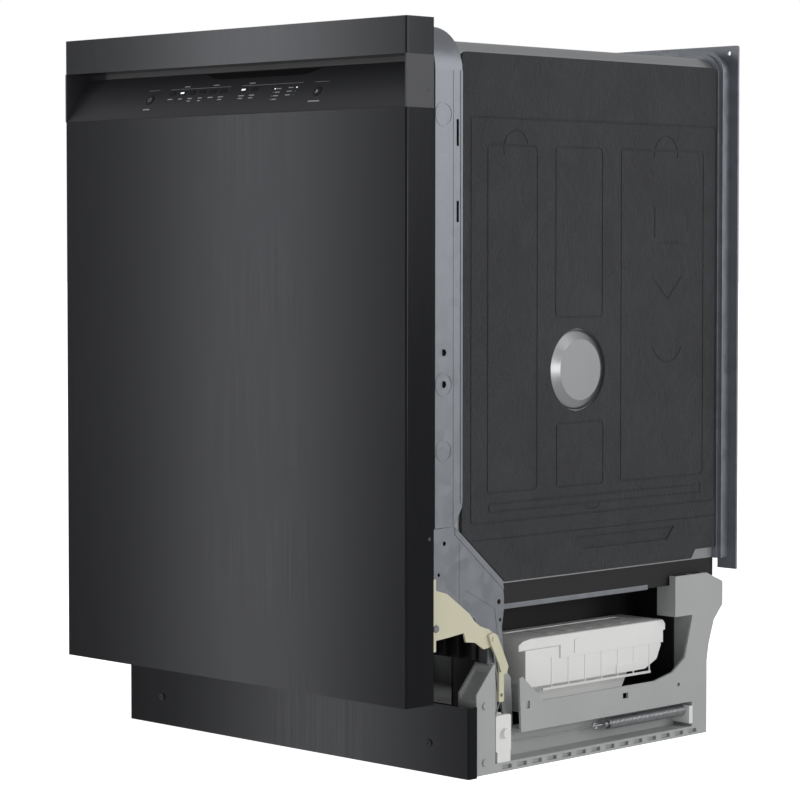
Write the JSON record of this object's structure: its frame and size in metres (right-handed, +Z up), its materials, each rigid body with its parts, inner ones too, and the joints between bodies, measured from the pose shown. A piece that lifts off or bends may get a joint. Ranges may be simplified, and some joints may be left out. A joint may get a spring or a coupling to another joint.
{
  "type": "built-in dishwasher",
  "caption": "Under-counter dishwasher with a drop-down front door, a steel tub with felt side mats, racks, spray arms and an open-sided moulded base.",
  "frame": {"origin": "on the floor, under the middle of the machine's whole box", "axes": "+X to the right of someone who faces the door, -Y towards them, +Z up"},
  "size_m": [0.598, 0.592, 0.861],
  "materials": {
    "black_panel": "semi-gloss black with a fine vertical brushed look",
    "black_trim": "satin black moulded plastic",
    "key_black": "matt black key tops",
    "stainless": "brushed stainless sheet",
    "zinc_sheet": "bright zinc-coated sheet",
    "felt": "mottled black felt mat",
    "grey_plastic": "mid grey moulded plastic",
    "white_plastic": "off-white moulded plastic",
    "cream_cast": "cream cast links",
    "dark_plastic": "dark moulded plastic",
    "rubber": "soft black seal",
    "spring_steel": "dark bright spring steel",
    "rack_grey": "nylon-coated wire",
    "blue_grey": "grey-blue moulded plastic"
  },
  "bodies": {
    "chassis": {"base_tray": "grey_plastic", "front_crossmember": "dark_plastic", "kick_plate": "black_panel", "case_screws": "zinc_sheet", "tub_wrap": "stainless", "tub_back": "stainless", "tub_floor": "dark_plastic", "front_frame": "zinc_sheet", "rear_frame": "zinc_sheet", "insulation_left": "felt", "insulation_right": "felt", "hinge_plates": "zinc_sheet", "door_gasket": "rubber", "rack_rails": "stainless", "sump": "dark_plastic", "circulation_pump": "dark_plastic", "drain_pump": "dark_plastic", "filter_cup": "blue_grey", "filter_plate": "stainless", "feed_pipe": "blue_grey", "module_box": "white_plastic", "module_box_lid": "white_plastic", "pulley_housings": "white_plastic", "spring_anchors": "white_plastic", "balance_cords": "spring_steel", "balance_springs": "spring_steel", "inlet_valve": "white_plastic"},
    "door": {"door_skin": "black_panel", "top_strip": "black_trim", "control_fascia": "black_trim", "door_liner": "stainless", "hinge_arms": "cream_cast", "dispenser_body": "blue_grey", "latch_hook": "zinc_sheet", "door_seal": "rubber"},
    "power_key": {"power_key": "key_black"},
    "start_key": {"start_key": "key_black"},
    "cycle_key_1": {"cycle_key_1": "key_black"},
    "cycle_key_2": {"cycle_key_2": "key_black"},
    "cycle_key_3": {"cycle_key_3": "key_black"},
    "cycle_key_4": {"cycle_key_4": "key_black"},
    "cycle_key_5": {"cycle_key_5": "key_black"},
    "cycle_key_6": {"cycle_key_6": "key_black"},
    "option_key_1": {"option_key_1": "key_black"},
    "option_key_2": {"option_key_2": "key_black"},
    "detergent_lid": {"detergent_lid": "blue_grey"},
    "rinse_cap": {"rinse_cap": "blue_grey"},
    "balance_links": {"balance_links": "cream_cast"},
    "spring_hooks": {"spring_hooks": "spring_steel"},
    "pulleys": {"pulleys": "dark_plastic"},
    "upper_rack": {"upper_rack": "rack_grey"},
    "lower_spray_arm": {"lower_spray_arm": "blue_grey"},
    "upper_spray_arm": {"upper_spray_arm": "blue_grey"},
    "foot_front_left": {"foot_front_left": "grey_plastic"},
    "foot_front_right": {"foot_front_right": "grey_plastic"},
    "foot_rear": {"foot_rear": "grey_plastic"},
    "lower_wheels_front": {"lower_wheels_front": "blue_grey"},
    "lower_wheels_rear": {"lower_wheels_rear": "blue_grey"},
    "lower_rack": {"lower_rack": "rack_grey", "cutlery_basket": "blue_grey"}
  },
  "joints": [
    {"name": "door_hinge", "type": "hinge", "parent": "chassis", "child": "door", "pos_m": [0, -0.238, 0.176], "axis": [1, 0, 0], "range_deg": [0, 90], "deforming": ["balance_cords", "balance_springs"]},
    {"name": "power_key_press", "type": "slide", "parent": "door", "child": "power_key", "axis": [0, 0.8296, -0.5584], "range_m": [0, 0.0008], "stiffness_N_per_m": 800},
    {"name": "start_key_press", "type": "slide", "parent": "door", "child": "start_key", "axis": [0, 0.8296, -0.5584], "range_m": [0, 0.0008], "stiffness_N_per_m": 800},
    {"name": "cycle_key_1_press", "type": "slide", "parent": "door", "child": "cycle_key_1", "axis": [0, 0.8296, -0.5584], "range_m": [0, 0.0008], "stiffness_N_per_m": 800},
    {"name": "cycle_key_2_press", "type": "slide", "parent": "door", "child": "cycle_key_2", "axis": [0, 0.8296, -0.5584], "range_m": [0, 0.0008], "stiffness_N_per_m": 800},
    {"name": "cycle_key_3_press", "type": "slide", "parent": "door", "child": "cycle_key_3", "axis": [0, 0.8296, -0.5584], "range_m": [0, 0.0008], "stiffness_N_per_m": 800},
    {"name": "cycle_key_4_press", "type": "slide", "parent": "door", "child": "cycle_key_4", "axis": [0, 0.8296, -0.5584], "range_m": [0, 0.0008], "stiffness_N_per_m": 800},
    {"name": "cycle_key_5_press", "type": "slide", "parent": "door", "child": "cycle_key_5", "axis": [0, 0.8296, -0.5584], "range_m": [0, 0.0008], "stiffness_N_per_m": 800},
    {"name": "cycle_key_6_press", "type": "slide", "parent": "door", "child": "cycle_key_6", "axis": [0, 0.8296, -0.5584], "range_m": [0, 0.0008], "stiffness_N_per_m": 800},
    {"name": "option_key_1_press", "type": "slide", "parent": "door", "child": "option_key_1", "axis": [0, 0.8296, -0.5584], "range_m": [0, 0.0008], "stiffness_N_per_m": 800},
    {"name": "option_key_2_press", "type": "slide", "parent": "door", "child": "option_key_2", "axis": [0, 0.8296, -0.5584], "range_m": [0, 0.0008], "stiffness_N_per_m": 800},
    {"name": "detergent_lid_slide", "type": "slide", "parent": "door", "child": "detergent_lid", "axis": [-1, 0, 0], "range_m": [0, 0.066]},
    {"name": "rinse_cap_flip", "type": "hinge", "parent": "door", "child": "rinse_cap", "pos_m": [0.006, -0.2195, 0.4437], "axis": [1, 0, 0], "range_deg": [0, 90]},
    {"name": "balance_link_swing", "type": "hinge", "parent": "door", "child": "balance_links", "pos_m": [0, -0.147, 0.156], "axis": [1, 0, 0], "range_deg": [-92, 0]},
    {"name": "spring_hook_pull", "type": "slide", "parent": "chassis", "child": "spring_hooks", "axis": [0, -1, 0], "range_m": [0, 0.128]},
    {"name": "pulley_turn", "type": "hinge", "parent": "chassis", "child": "pulleys", "pos_m": [0, -0.1265, 0.045], "axis": [1, 0, 0], "range_deg": [-512, 0]},
    {"name": "upper_rack_slide", "type": "slide", "parent": "chassis", "child": "upper_rack", "axis": [0, -1, 0], "range_m": [0, 0.44]},
    {"name": "lower_rack_slide", "type": "slide", "parent": "chassis", "child": "lower_rack", "axis": [0, -1, 0], "range_m": [0, 0.44]},
    {"name": "front_wheels_roll", "type": "hinge", "parent": "lower_rack", "child": "lower_wheels_front", "pos_m": [0, -0.14, 0.2246], "axis": [1, 0, 0], "range_deg": [0, 1801]},
    {"name": "rear_wheels_roll", "type": "hinge", "parent": "lower_rack", "child": "lower_wheels_rear", "pos_m": [0, 0.1514, 0.2246], "axis": [1, 0, 0], "range_deg": [0, 1801]},
    {"name": "lower_arm_spin", "type": "hinge", "parent": "chassis", "child": "lower_spray_arm", "pos_m": [0, 0.0257, 0.211], "axis": [0, 0, 1], "continuous": true},
    {"name": "upper_arm_spin", "type": "hinge", "parent": "upper_rack", "child": "upper_spray_arm", "pos_m": [0, 0.0257, 0.498], "axis": [0, 0, 1], "continuous": true},
    {"name": "foot_front_right_adjust", "type": "slide", "parent": "chassis", "child": "foot_front_right", "axis": [0, 0, -1], "range_m": [0, 0.04]},
    {"name": "foot_front_left_adjust", "type": "slide", "parent": "chassis", "child": "foot_front_left", "axis": [0, 0, -1], "range_m": [0, 0.04]},
    {"name": "foot_rear_adjust", "type": "slide", "parent": "chassis", "child": "foot_rear", "axis": [0, 0, -1], "range_m": [0, 0.04]}
  ],
  "couplings": [
    {"joint": "balance_link_swing", "follows": "door_hinge", "ratio": -1},
    {"joint": "spring_hook_pull", "follows": "door_hinge", "m_per_rad": 0.081},
    {"joint": "pulley_turn", "follows": "door_hinge", "ratio": -5.664},
    {"joint": "upper_rack_slide", "follows": "door_hinge", "m_per_rad": 0.28},
    {"joint": "lower_rack_slide", "follows": "door_hinge", "m_per_rad": 0.045},
    {"joint": "front_wheels_roll", "follows": "door_hinge", "ratio": 3.214},
    {"joint": "rear_wheels_roll", "follows": "door_hinge", "ratio": 3.214}
  ]
}
